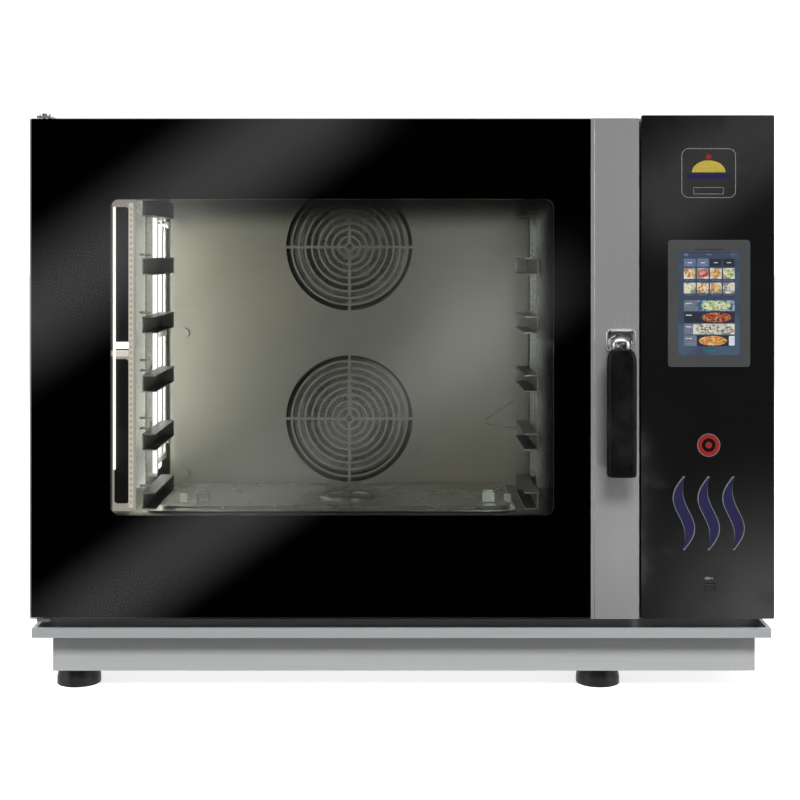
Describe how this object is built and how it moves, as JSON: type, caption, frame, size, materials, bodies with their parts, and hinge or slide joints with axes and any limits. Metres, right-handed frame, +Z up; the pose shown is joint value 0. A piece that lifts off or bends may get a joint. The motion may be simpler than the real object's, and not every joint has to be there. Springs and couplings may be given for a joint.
{
  "type": "combi steamer oven",
  "caption": "Countertop combi steamer oven with a side-hinged glass door, tray racks, fan-baffled cavity, touch-screen fascia, drip tray and plinth on feet.",
  "frame": {"origin": "on the surface it stands on, at the centre of its width and depth", "axes": "+X to the right as seen from the front, +Y to the back, +Z up"},
  "size_m": [0.93, 0.83, 0.765],
  "materials": {
    "steel": "brushed",
    "liner_steel": "satin",
    "black_glass": "gloss",
    "outer_glass": "gloss",
    "inner_glass": "gloss",
    "glass_print": "gloss",
    "chrome": "polished",
    "grip_black": "satin",
    "black_plastic": "satin",
    "rubber": "matte",
    "bezel_grey": "satin",
    "screen": "gloss",
    "board_green": "satin",
    "insulation": "matte",
    "pin_steel": "polished",
    "element": "matte",
    "motor_paint": "satin",
    "wheel_steel": "satin",
    "frame_paint": "satin",
    "brass": "satin",
    "drain_plastic": "matte",
    "light": "gloss"
  },
  "bodies": {
    "cabinet": {"plinth": "steel", "feet": "rubber", "base_plate": "steel", "left_side_panel": "steel", "right_side_panel": "steel", "top_cover": "steel", "rear_panel": "steel", "front_frame": "steel", "cavity_liner": "liner_steel", "cavity_insulation": "insulation", "door_gasket": "rubber", "fan_baffle": "liner_steel", "baffle_screws": "pin_steel", "upper_heating_element": "element", "lower_heating_element": "element", "upper_fan_motor": "motor_paint", "lower_fan_motor": "motor_paint", "steam_pipe": "wheel_steel", "rack_studs": "pin_steel", "drain_filter": "wheel_steel", "drain_pipe": "drain_plastic", "bay_partition": "steel", "fascia_housing": "frame_paint", "fascia_glass": "black_glass", "display_bezel": "bezel_grey", "display_panel": "screen", "control_board": "board_green", "power_board": "board_green", "usb_socket": "wheel_steel", "cooling_fan_frame": "black_plastic", "vent_pipe": "wheel_steel", "damper_motor": "black_plastic", "water_inlets": "brass", "cable_gland": "black_plastic", "hinge_brackets": "wheel_steel", "hinge_pins": "pin_steel", "door_strike": "wheel_steel"},
    "door": {"door_frame": "frame_paint", "door_outer_glass": "outer_glass", "door_glass_mask": "glass_print", "door_inner_glass": "inner_glass", "door_handle_strip": "steel", "door_light_bar": "light", "handle_escutcheon": "chrome", "hinge_bushes": "brass"},
    "handle": {"handle_neck": "chrome", "handle_grip": "grip_black", "latch_spindle": "pin_steel"},
    "left_rack": {"left_rack_frame": "wheel_steel", "left_tray_supports": "wheel_steel"},
    "right_rack": {"right_rack_frame": "wheel_steel", "right_tray_supports": "wheel_steel"},
    "upper_fan": {"upper_fan_wheel": "wheel_steel", "upper_fan_shaft": "pin_steel"},
    "lower_fan": {"lower_fan_wheel": "wheel_steel", "lower_fan_shaft": "pin_steel"},
    "drip_tray": {"drip_tray": "steel"},
    "usb_cover": {"usb_cover": "black_plastic"},
    "cooling_fan": {"cooling_fan_rotor": "black_plastic"},
    "vent_damper": {"vent_damper": "wheel_steel"}
  },
  "joints": [
    {"name": "door_swing", "type": "hinge", "parent": "cabinet", "child": "door", "pos_m": [-0.4505, -0.343, 0.41], "axis": [0, 0, -1], "range_deg": [0, 125]},
    {"name": "handle_turn", "type": "hinge", "parent": "door", "child": "handle", "pos_m": [0.272, -0.38, 0.447], "axis": [0, 1, 0], "range_deg": [0, 90]},
    {"name": "upper_fan_spin", "type": "hinge", "parent": "cabinet", "child": "upper_fan", "pos_m": [-0.084, 0.25, 0.5647], "axis": [0, 1, 0], "continuous": true},
    {"name": "lower_fan_spin", "type": "hinge", "parent": "cabinet", "child": "lower_fan", "pos_m": [-0.084, 0.25, 0.2884], "axis": [0, 1, 0], "continuous": true},
    {"name": "cooling_fan_spin", "type": "hinge", "parent": "cabinet", "child": "cooling_fan", "pos_m": [0.36, 0.35, 0.62], "axis": [0, 1, 0], "continuous": true},
    {"name": "vent_damper_turn", "type": "hinge", "parent": "cabinet", "child": "vent_damper", "pos_m": [0.06, 0.217, 0.733], "axis": [1, 0, 0], "range_deg": [0, 90]},
    {"name": "usb_cover_flip", "type": "hinge", "parent": "cabinet", "child": "usb_cover", "pos_m": [0.3845, -0.363, 0.1421], "axis": [-1, 0, 0], "range_deg": [0, 90]},
    {"name": "drip_tray_slide", "type": "slide", "parent": "cabinet", "child": "drip_tray", "axis": [0, -1, 0], "range_m": [0, 0.15]},
    {"name": "left_rack_lift", "type": "slide", "parent": "cabinet", "child": "left_rack", "axis": [0, 0, 1], "range_m": [0, 0.012]},
    {"name": "right_rack_lift", "type": "slide", "parent": "cabinet", "child": "right_rack", "axis": [0, 0, 1], "range_m": [0, 0.012]}
  ]
}
